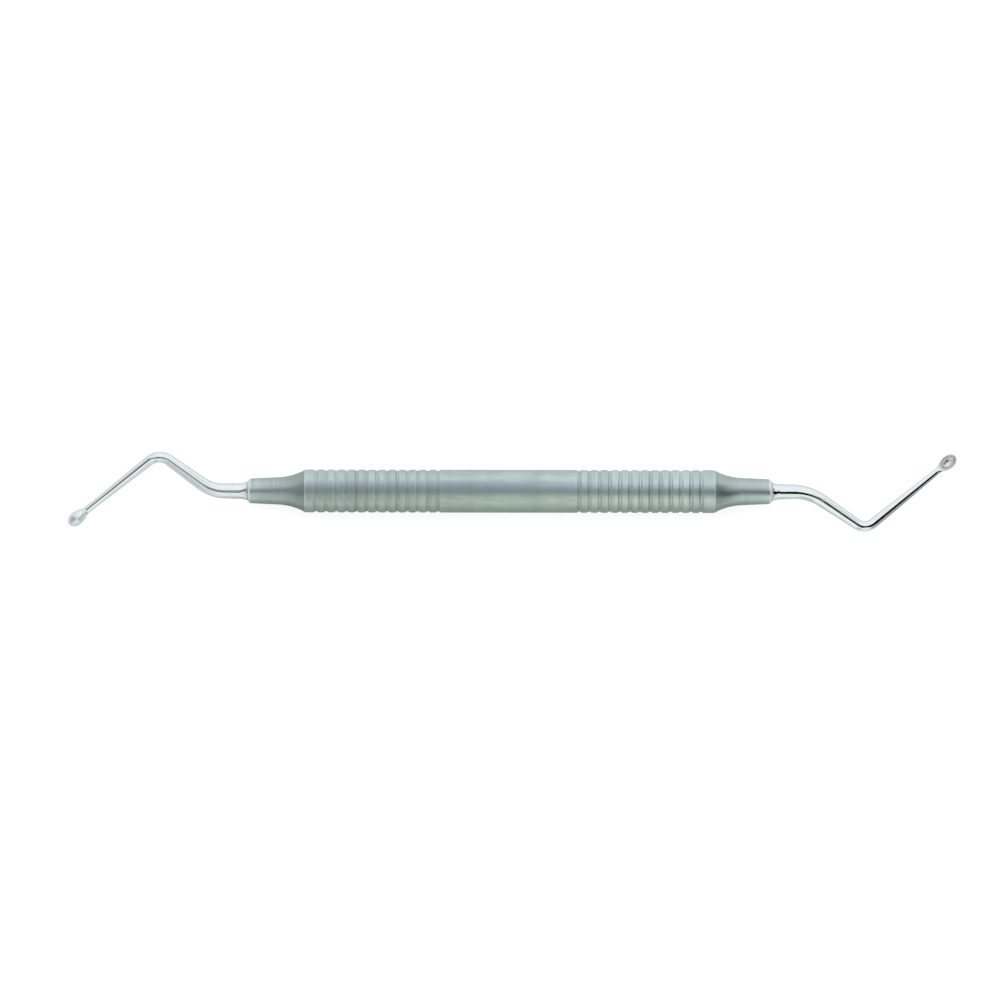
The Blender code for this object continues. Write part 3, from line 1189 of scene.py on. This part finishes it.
    def stations(self) -> list[float]:
        """Space the rings along the foot, the shank and the spoon.

        Returns:
            Their distances.
        """
        found = [-self.foot_seat]
        found += even_places(0.0, self.foot_length, self.foot_spacing)
        found += even_places(self.foot_length, self.neck_end, self.shank_spacing)[1:]
        found += even_places(self.neck_end, self.heel, self.heel_spacing)[1:-1]
        turn = math.pi / 2 + self.last_station
        for step in range(self.spoon_steps + 1):
            angle = turn * step / self.spoon_steps - math.pi / 2
            found.append(self.centre + self.spoon_length / 2 * math.sin(angle))
        return found

    def rings(self) -> list[Ring]:
        """Return all rings, from the end of the tang to the tip of the spoon."""
        tang = [
            self.ring(-self.tang_length, self.tang_radius - self.tang_chamfer),
            self.ring(self.tang_chamfer - self.tang_length, self.tang_radius),
            self.ring(-self.foot_seat, self.tang_radius),
        ]
        return tang + [self.ring(distance) for distance in self.stations()]

    def build(self, finish: PolishedSteel) -> Object:
        """Return the tip, drawn and dressed in a finish."""
        mesh = Skin(f"{self.end.label}_curette_tip", self.rings()).capped()
        return place_piece(mesh, finish, f"curette_tip_{self.end.label}")


@dataclass
class GlowCard:
    """A panel with a soft pattern of light that only shows in the steel's reflections.

    It is a net of places in millimetres, one for each pair of a first and a second
    step. The camera doesn't see it, and it neither lights nor shades anything else.
    """

    name: str
    firsts: list[float]
    seconds: list[float]
    place: Callable[[float, float], Place]
    colour: Callable[[float, float], Colour]

    def build(self) -> Object:
        """Hang the card.

        Returns:
            The card.
        """
        width = len(self.seconds)
        steps = [(first, second) for first in self.firsts for second in self.seconds]
        faces = []
        for i in range(len(self.firsts) - 1):
            for start in range(i * width, i * width + width - 1):
                faces.append((start, start + 1, start + width + 1, start + width))
        mesh = bpy.data.meshes.new(self.name)
        mesh.from_pydata([[MM * part for part in self.place(*step)] for step in steps], [], faces)
        colours = [part for step in steps for part in (*self.colour(*step), 1.0)]
        mesh.attributes.new("glow", "FLOAT_COLOR", "POINT").data.foreach_set("color", colours)
        mesh.materials.append(self.material())
        card = link_object(self.name, mesh)
        card.visible_camera = False
        card.visible_diffuse = False
        card.visible_shadow = False
        return card

    def material(self) -> Material:
        """Build a material that glows in the card's own pattern.

        Returns:
            The material.
        """
        material = bpy.data.materials.new(self.name)
        material.use_nodes = True
        material.node_tree.nodes.clear()
        bench = NodeBench(material.node_tree)
        pattern = bench.add("ShaderNodeAttribute", {}, attribute_name="glow")
        glow = bench.add("ShaderNodeEmission", {"Color": pattern.outputs["Color"]})
        bench.add("ShaderNodeOutputMaterial", {"Surface": glow.outputs[0]})
        material.cycles.emission_sampling = "NONE"
        return material


@dataclass(frozen=True)
class DarkBand:
    """A dark band of the ceiling, whose two edges are read off along the handle."""

    upper: Table
    lower: Table
    strength: float
    softness: float = 20.0
    end_softness: float = 8.0

    def share(self, x: float, y: float) -> float:
        """Measure how dark the band is at a place.

        Args:
            x: The place along the handle.
            y: The place across it.

        Returns:
            A share from 0 to 1.
        """
        ends = plateau(x, self.upper[0][0], self.upper[-1][0], self.end_softness)
        low, high = between(x, self.lower), between(x, self.upper)
        return self.strength * ends * plateau(y, low, high, self.softness)


@dataclass(frozen=True)
class DarkStrip:
    """A straight dark strip that runs slantwise over the ceiling."""

    middle: Span
    turn: float
    reach: Span
    half_width: float
    strength: float
    end_softness: float = 20.0
    side_softness: float = 5.0

    def aside(self, x: float, y: float) -> float:
        """Return how far a place lies to the right of the strip, looking along it."""
        x, y = x - self.middle[0], y - self.middle[1]
        return x * math.sin(self.turn) - y * math.cos(self.turn)

    def share(self, x: float, y: float) -> float:
        """Measure how dark the strip is at a place.

        Args:
            x: The place along the handle.
            y: The place across it.

        Returns:
            A share from 0 to 1.
        """
        run = (x - self.middle[0]) * math.cos(self.turn)
        run += (y - self.middle[1]) * math.sin(self.turn)
        width, aside = self.half_width, self.aside(x, y)
        inside = plateau(run, *self.reach, self.end_softness)
        return self.strength * inside * plateau(aside, -width, width, self.side_softness)


LEFT_BAND = DarkBand(
    upper=((-212, 140), (-200, 132), (-156, 80), (-106, 27), (-88, -20), (-77, -30)),
    lower=((-212, -25), (-200, -38), (-156, -92), (-106, -135), (-88, -185), (-77, -190)),
    strength=0.80,
)
LEFT_GAP = DarkStrip(
    middle=(-102, 0),
    turn=math.radians(56),
    reach=(-220, -50),
    half_width=13.0,
    strength=1.0,
)
LEFT_STRIPS = (
    replace(LEFT_GAP, reach=(-42, 92), strength=0.66, end_softness=30.0),
    DarkStrip(
        middle=(-97.5, 0),
        turn=math.radians(128.5),
        reach=(-25, 245),
        half_width=18.0,
        strength=0.82,
        end_softness=45.0,
    ),
)
LEFT_END = (
    DarkBand(
        upper=((-520, 350), (-400, 260), (-240, 170)),
        lower=((-520, -370), (-380, -300), (-240, -190)),
        strength=0.60,
        softness=40.0,
        end_softness=30.0,
    ),
    DarkBand(
        upper=((-520, 45), (-190, 45)),
        lower=((-520, -45), (-190, -45)),
        strength=0.56,
        softness=25.0,
        end_softness=30.0,
    ),
)
RIGHT_BAND = DarkBand(
    upper=(
        (38, -70), (60, -40), (84, 14), (115, 14), (190, 0), (245, 45), (300, 45),
        (430, 0),
    ),
    lower=(
        (38, -150), (60, -190), (84, -250), (98, -215), (106, -165), (125, -165),
        (190, -235), (260, -272), (350, -290), (430, -350),
    ),
    strength=1.0,
)
RIGHT_STRIP = DarkStrip(
    middle=(97, -5),
    turn=math.radians(56),
    reach=(-100, 120),
    half_width=14.0,
    strength=0.95,
)
RIGHT_END = (
    DarkBand(
        upper=((262, 260), (520, 350)),
        lower=((262, -250), (520, -350)),
        strength=0.84,
        softness=40.0,
        end_softness=30.0,
    ),
    DarkBand(
        upper=((190, 45), (520, 45)),
        lower=((190, -45), (520, -45)),
        strength=0.92,
        softness=25.0,
        end_softness=30.0,
    ),
)


@dataclass
class Reflections:
    """Where the room that the steel reflects is bright and where it is dim.

    All places here are in millimetres. Dark bands cross the ceiling over both tips,
    so the polished shanks show them as a dark line. The far side is white and dims a
    little towards the left. The near side is dimmer, and greener beside the handle.
    """

    blue: Colour = (0.92, 1.0, 1.13)
    green: Colour = (0.93, 1.0, 0.85)
    near_tint: Colour = (0.975, 1.0, 0.995)
    ceiling_height: float = 300.0
    ceiling_reach: Span = (520.0, 350.0)
    ceiling_spacing: float = 6.0
    ceiling_far_fade: Span = (-20.0, 20.0)
    right_strip_fade: Span = (-16.0, -8.0)
    near_side: Table = ((-220.0, 0.80), (-140.0, 0.86), (-105.0, 1.0), (120.0, 1.0))
    axis_height: float = 4.2
    canopy_height: float = 35.8
    canopy_green_fade: Span = (46.0, 54.0)
    canopy_blue_fade: Span = (-16.0, -2.0)
    canopy_white_fade: Span = (40.0, 66.0)
    corner_fade_along: Span = (34.0, 44.0)
    corner_fade_aside: Span = (28.0, 42.0)
    canopy_angles: tuple[float, ...] = (-62, -52, -42, -30, -20, -10, 0, 9, 18, 30, 45, 56)
    canopy_levels: tuple[tuple[float, tuple[float, ...]], ...] = (
        (-55.5, (0.90, 0.90, 0.90, 0.85, 0.66, 0.32, 0.24, 0.34, 0.74, 0.95, 1.0, 1.0)),
        (-51.0, (0.95, 0.95, 0.95, 0.90, 0.78, 0.42, 0.36, 0.46, 0.88, 1.0, 1.0, 1.0)),
        (-46.0, (0.60, 0.55, 0.53, 0.55, 0.52, 0.38, 0.34, 0.36, 0.54, 0.74, 0.88, 0.98)),
        (-38.0, (0.54, 0.48, 0.46, 0.49, 0.48, 0.38, 0.32, 0.34, 0.38, 0.44, 0.56, 0.72)),
        (-26.0, (0.68, 0.68, 0.67, 0.66, 0.60, 0.40, 0.34, 0.36, 0.47, 0.60, 0.78, 0.95)),
        (-12.0, (0.72, 0.72, 0.72, 0.70, 0.62, 0.38, 0.34, 0.38, 0.45, 0.50, 0.60, 0.76)),
        (0.0, (0.75, 0.77, 0.78, 0.74, 0.62, 0.37, 0.32, 0.40, 0.51, 0.58, 0.66, 0.80)),
        (11.0, (0.80, 0.85, 0.86, 0.77, 0.60, 0.38, 0.34, 0.41, 0.55, 0.63, 0.72, 0.86)),
        (24.0, (1.00, 1.00, 0.97, 0.87, 0.64, 0.37, 0.34, 0.44, 0.72, 0.92, 1.15, 1.30)),
        (39.0, (1.05, 1.06, 1.0, 0.92, 0.56, 0.30, 0.27, 0.44, 0.74, 1.02, 1.18, 1.20)),
        (51.0, (1.0, 1.0, 1.0, 0.97, 0.66, 0.30, 0.22, 0.28, 0.58, 0.84, 0.92, 0.96)),
        (55.5, (1.0, 1.0, 1.0, 1.0, 0.70, 0.28, 0.18, 0.24, 0.56, 0.82, 0.92, 0.96)),
    )
    wall_place: float = 350.0
    near_wall_spacing: float = 10.0
    near_wall_rows: tuple[float, ...] = (60.0, 140.0, 220.0)
    near_wall_foot: float = 0.92
    near_wall_fade: Span = (60.0, 90.0)
    near_wall_levels: Table = (
        (-520.0, 0.58), (-330.0, 0.66), (-220.0, 0.80), (-120.0, 0.94), (-72.0, 0.94),
        (-52.0, 0.62), (25.0, 0.70), (50.0, 1.0), (220.0, 0.96), (260.0, 0.42), (470.0, 0.42),
        (520.0, 0.80),
    )
    far_wall_spacing: float = 20.0
    far_wall_levels: Table = (
        (-520.0, 0.80), (-330.0, 0.82), (-200.0, 0.90), (-140.0, 1.0), (200.0, 1.0),
        (520.0, 0.92),
    )
    floor_height: float = 0.2
    floor_spacing: float = 5.0
    near_floor_fade: Span = (50.0, 60.0)
    near_floor_rows: tuple[float, ...] = (
        -350.0, -200.0, -120.0, -80.0, -50.0, -30.0, -20.0, -12.0, -8.0, -5.0, -2.2,
    )
    near_floor_levels: Table = ((-62.0, 0.72), (-52.0, 0.49), (52.0, 0.54), (62.0, 0.84))
    far_floor_rows: tuple[float, ...] = (2.2, 8.0, 30.0, 120.0, 350.0)
    far_floor_levels: Table = (
        (-60.0, 0.80), (-45.0, 0.86), (-35.0, 0.94), (-20.0, 0.86), (12.0, 0.86),
        (20.0, 1.0), (38.0, 1.0), (45.0, 0.88), (60.0, 0.82),
    )
    grey_level: float = 0.42
    grey_start: float = 84.0
    grey_slant: float = 0.8
    grey_core: Span = (8.0, 0.12)
    grey_edge: Span = (18.0, 0.2)
    flag_place: float = 520.0
    flag_span: tuple[float, float, float] = (-300.0, 450.0, 50.0)
    flag_rows: tuple[float, ...] = (30.0, 60.0, 85.0, 110.0, 200.0)
    flag_far_fade: Span = (-120.0, 120.0)
    flag_side_fade: Span = (200.0, 300.0)
    flag_levels: Table = ((0.0, 1.0), (75.0, 1.0), (130.0, 0.0))
    left_flag: Span = (0.28, 0.36)
    right_flag: Span = (0.18, 0.28)

    def near_colour(self, x: float, fade: Span) -> Colour:
        """Return the tint of the near side, whose green fades away from the handle."""
        return mixed(self.green, self.near_tint, smooth_step(abs(x), *fade))

    def ceiling_colour(self, x: float, y: float) -> Colour:
        """Colour one place of the ceiling.

        Args:
            x: The place along the handle.
            y: The place across it.

        Returns:
            The colour.
        """
        far = smooth_step(y, *self.ceiling_far_fade)
        level = part_way(between(x, self.near_side), 1.0, far)
        colour = mixed(tinted(level, self.near_tint), WHITE, far)
        shapes = (*LEFT_END, *LEFT_STRIPS, RIGHT_STRIP, *RIGHT_END)
        dark = max(shape.share(x, y) for shape in shapes)
        dark = max(dark, LEFT_BAND.share(x, y) * (1 - LEFT_GAP.share(x, y)))
        beside = smooth_step(RIGHT_STRIP.aside(x, y), *self.right_strip_fade)
        dark = max(dark, beside * RIGHT_BAND.share(x, y))
        return mixed(colour, BLACK, dark)

    def canopy_colour(self, x: float, angle: float) -> Colour:
        """Colour one place of the canopy.

        Args:
            x: The place along the handle.
            angle: The angle up from the handle, from the vertical.

        Returns:
            The colour.
        """
        level = dict(self.canopy_levels)[x][self.canopy_angles.index(angle)]
        tint = self.near_colour(x, self.canopy_green_fade)
        tint = mixed(tint, self.blue, smooth_step(angle, *self.canopy_blue_fade))
        tint = mixed(tint, WHITE, smooth_step(angle, *self.canopy_white_fade))
        corner = smooth_step(abs(x), *self.corner_fade_along)
        corner *= smooth_step(abs(angle), *self.corner_fade_aside)
        return tinted(level, mixed(tint, WHITE, corner))

    def near_wall_colour(self, x: float, z: float) -> Colour:
        """Colour one place of the near wall.

        Args:
            x: The place along the handle.
            z: The height.

        Returns:
            The colour.
        """
        level = between(x, self.near_wall_levels)
        level *= self.near_wall_foot + (1 - self.near_wall_foot) * z / self.ceiling_height
        return tinted(level, self.near_colour(x, self.near_wall_fade))

    def near_floor_colour(self, x: float, y: float) -> Colour:
        """Colour one place of the near floor, which a grey line crosses slantwise.

        Args:
            x: The place along the handle.
            y: The place across it.

        Returns:
            The colour.
        """
        level = between(x, self.near_floor_levels)
        colour = tinted(level, self.near_colour(x, self.near_floor_fade))
        run = max(-y, 0.0)
        core, edge = (start + growth * run for start, growth in (self.grey_core, self.grey_edge))
        aside = abs(x - (self.grey_start + self.grey_slant * run))
        return mixed(tinted(self.grey_level, WHITE), colour, smooth_step(aside, core, edge))

    def flag_colour(self, levels: Span, y: float, z: float) -> Colour:
        """Colour one place of a flag.

        Args:
            levels: How bright it is on the near and on the far side.
            y: The place across the handle.
            z: The height.

        Returns:
            The colour.
        """
        level = part_way(*levels, smooth_step(y, *self.flag_far_fade))
        bright = max(smooth_step(-y, *self.flag_side_fade), between(z, self.flag_levels))
        return tinted(part_way(level, 1.0, bright), WHITE)

    def end_flag(self, end: End) -> GlowCard:
        """Lay out the dim flag that shades the shoulder of one cone.

        Args:
            end: The end of the instrument that it stands at.

        Returns:
            The flag.
        """
        levels = self.left_flag if end is End.LEFT else self.right_flag
        return GlowCard(
            f"{end.label}_flag",
            even_places(*self.flag_span),
            [*self.flag_rows, self.ceiling_height],
            lambda y, z: (end.value * self.flag_place, y, z),
            lambda y, z: self.flag_colour(levels, y, z),
        )

    def cards(self) -> list[GlowCard]:
        """Lay out the cards around the instrument.

        Returns:
            The ceiling, the low canopy whose shading shows on the handle, the near and
            the far wall, the near and the far floor, and the flags.
        """
        reach, across = self.ceiling_reach
        top, rise = self.ceiling_height, self.canopy_height
        canopy_top = rise + self.axis_height
        floor_steps = even_places(-reach, reach, self.floor_spacing)
        return [
            GlowCard(
                "studio_ceiling",
                even_places(-reach, reach, self.ceiling_spacing),
                even_places(-across, across, self.ceiling_spacing),
                lambda x, y: (x, y, top),
                self.ceiling_colour,
            ),
            GlowCard(
                "handle_canopy",
                [station for station, _ in self.canopy_levels],
                list(self.canopy_angles),
                lambda x, angle: (x, rise * math.tan(math.radians(angle)), canopy_top),
                self.canopy_colour,
            ),
            GlowCard(
                "near_wall",
                even_places(-reach, reach, self.near_wall_spacing),
                [0.0, *self.near_wall_rows, top],
                lambda x, z: (x, -self.wall_place, z),
                self.near_wall_colour,
            ),
            GlowCard(
                "far_wall",
                even_places(-reach, reach, self.far_wall_spacing),
                [0.0, top],
                lambda x, z: (x, self.wall_place, z),
                lambda x, z: tinted(between(x, self.far_wall_levels), WHITE),
            ),
            GlowCard(
                "near_floor",
                floor_steps,
                list(self.near_floor_rows),
                lambda x, y: (x, y, self.floor_height),
                self.near_floor_colour,
            ),
            GlowCard(
                "far_floor",
                floor_steps,
                list(self.far_floor_rows),
                lambda x, y: (x, y, self.floor_height),
                lambda x, y: tinted(between(x, self.far_floor_levels), WHITE),
            ),
            *(self.end_flag(end) for end in End),
        ]


@dataclass(frozen=True)
class SoftBox:
    """A broad soft lamp beside the instrument."""

    name: str
    place: Place
    size: Span
    power: float
    colour: Colour

    def build(self) -> Object:
        """Hang the lamp, aimed at the middle of the instrument.

        Returns:
            The lamp.
        """
        light = bpy.data.lights.new(self.name, "AREA")
        light.shape = "RECTANGLE"
        light.size, light.size_y = self.size
        light.energy = self.power
        light.color = self.colour
        lamp = link_object(self.name, light)
        lamp.location = self.place
        lamp.rotation_euler = (-Vector(self.place)).to_track_quat("-Z", "Y").to_euler()
        lamp.visible_camera = False
        lamp.visible_glossy = False
        return lamp


@dataclass(frozen=True)
class Studio:
    """The white room: floor, sky, lamps and the cards that the steel reflects."""

    floor_half_size: float = 4.0
    floor_colour: Colour = (0.75, 0.75, 0.75)
    camera_lift: float = 0.55
    sky_level: float = 0.55
    lamps: tuple[SoftBox, ...] = (
        SoftBox("key_softbox", (0.0, 0.55, 0.75), (1.2, 0.7), 4.4, (0.96, 0.99, 1.0)),
        SoftBox("fill_softbox", (0.0, -0.60, 0.70), (1.2, 0.7), 2.0, (0.97, 1.0, 0.98)),
    )

    def build(self) -> None:
        """Set up the whole room."""
        self.build_sky()
        self.build_floor()
        for hung in (*self.lamps, *Reflections().cards()):
            hung.build()

    def build_sky(self) -> None:
        """Make the sky white to look at, and a plain soft light on everything."""
        world = bpy.data.worlds.new("white_room")
        bpy.context.scene.world = world
        world.use_nodes = True
        world.node_tree.nodes.clear()
        bench = NodeBench(world.node_tree)
        path = bench.add("ShaderNodeLightPath", {}).outputs
        shown = bench.math("MAXIMUM", path["Is Camera Ray"], path["Is Glossy Ray"])
        shown = bench.math("MAXIMUM", shown, path["Is Transmission Ray"])
        level = bench.math("MULTIPLY_ADD", shown, 1.0 - self.sky_level, self.sky_level)
        sky = bench.add("ShaderNodeBackground", {"Color": WHITE, "Strength": level})
        bench.add("ShaderNodeOutputWorld", {"Surface": sky.outputs[0]})
        world.cycles.sampling_method = "NONE"

    def build_floor(self) -> None:
        """Lay a pale floor that looks white where nothing shades it."""
        half = self.floor_half_size
        mesh = bpy.data.meshes.new("pale_floor")
        corners = [(-half, -half, 0.0), (half, -half, 0.0), (half, half, 0.0), (-half, half, 0.0)]
        mesh.from_pydata(corners, [], [(0, 1, 2, 3)])
        floor = link_object("pale_floor", mesh)
        material = drawn_material("pale_floor", self.floor_surface)
        material.cycles.emission_sampling = "NONE"
        mesh.materials.append(material)

    def floor_surface(self, bench: NodeBench) -> Inputs:
        """Draw a matt pale surface with a little light of its own for the camera.

        Args:
            bench: Where the nodes are made.

        Returns:
            What the shader's inputs take, by their names.
        """
        seen = bench.add("ShaderNodeLightPath", {}).outputs["Is Camera Ray"]
        return {
            "Base Color": self.floor_colour,
            "Roughness": 1.0,
            "Specular IOR Level": 0.0,
            "Emission Color": WHITE,
            "Emission Strength": bench.math("MULTIPLY", seen, self.camera_lift),
        }


@dataclass(frozen=True)
class PhotoCamera:
    """The photograph's viewpoint, straight above the instrument."""

    frame_width: float = 197.0 * MM
    centre: Span = (-1.93 * MM, -1.735 * MM)
    distance: float = 1.2
    roll: float = math.radians(0.09)
    sensor_mm: float = 36.0
    clip: Span = (0.01, 100.0)

    def build(self, axis_height: float) -> Object:
        """Set up the camera so that the frame's width fits at the handle's axis.

        Args:
            axis_height: The height of the handle's axis.

        Returns:
            The camera.
        """
        data = bpy.data.cameras.new("photo_camera")
        data.sensor_width = self.sensor_mm
        data.lens = self.sensor_mm * self.distance / self.frame_width
        data.clip_start, data.clip_end = self.clip
        camera = link_object("photo_camera", data)
        camera.location = (*self.centre, axis_height + self.distance)
        camera.rotation_euler = (0.0, 0.0, self.roll)
        bpy.context.scene.camera = camera
        return camera


def main() -> None:
    """Build the pieces in order, then the room and the camera around them."""
    logging.basicConfig(level=logging.INFO, format="%(name)s: %(message)s")
    low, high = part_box("handle_barrel")
    handle = Handle(axis_height=(low.z + high.z) / 2, half_length=(high.x - low.x) / 2)
    satin, polished = SatinSteel(), PolishedSteel()
    pieces = [
        HandleBarrel(handle).build(satin),
        # The cones' flares carry painted shade, heavier on the left.
        EndCone(handle, End.LEFT, shoulder_shade=0.85, nose_shade=0.30).build(satin),
        EndCone(handle, End.RIGHT, shoulder_shade=0.35, nose_shade=0.28).build(satin),
        CuretteTip(handle, End.LEFT, LEFT_BENDS, LEFT_STOCK).build(polished),
        CuretteTip(handle, End.RIGHT, RIGHT_BENDS, RIGHT_STOCK).build(polished),
    ]
    for piece in pieces:
        log.info("%s: %d faces", piece.name, len(piece.data.polygons))
    Studio().build()
    PhotoCamera().build(handle.axis_height)
    bpy.context.scene.view_settings.view_transform = "Standard"


if __name__ == "__main__":
    main()
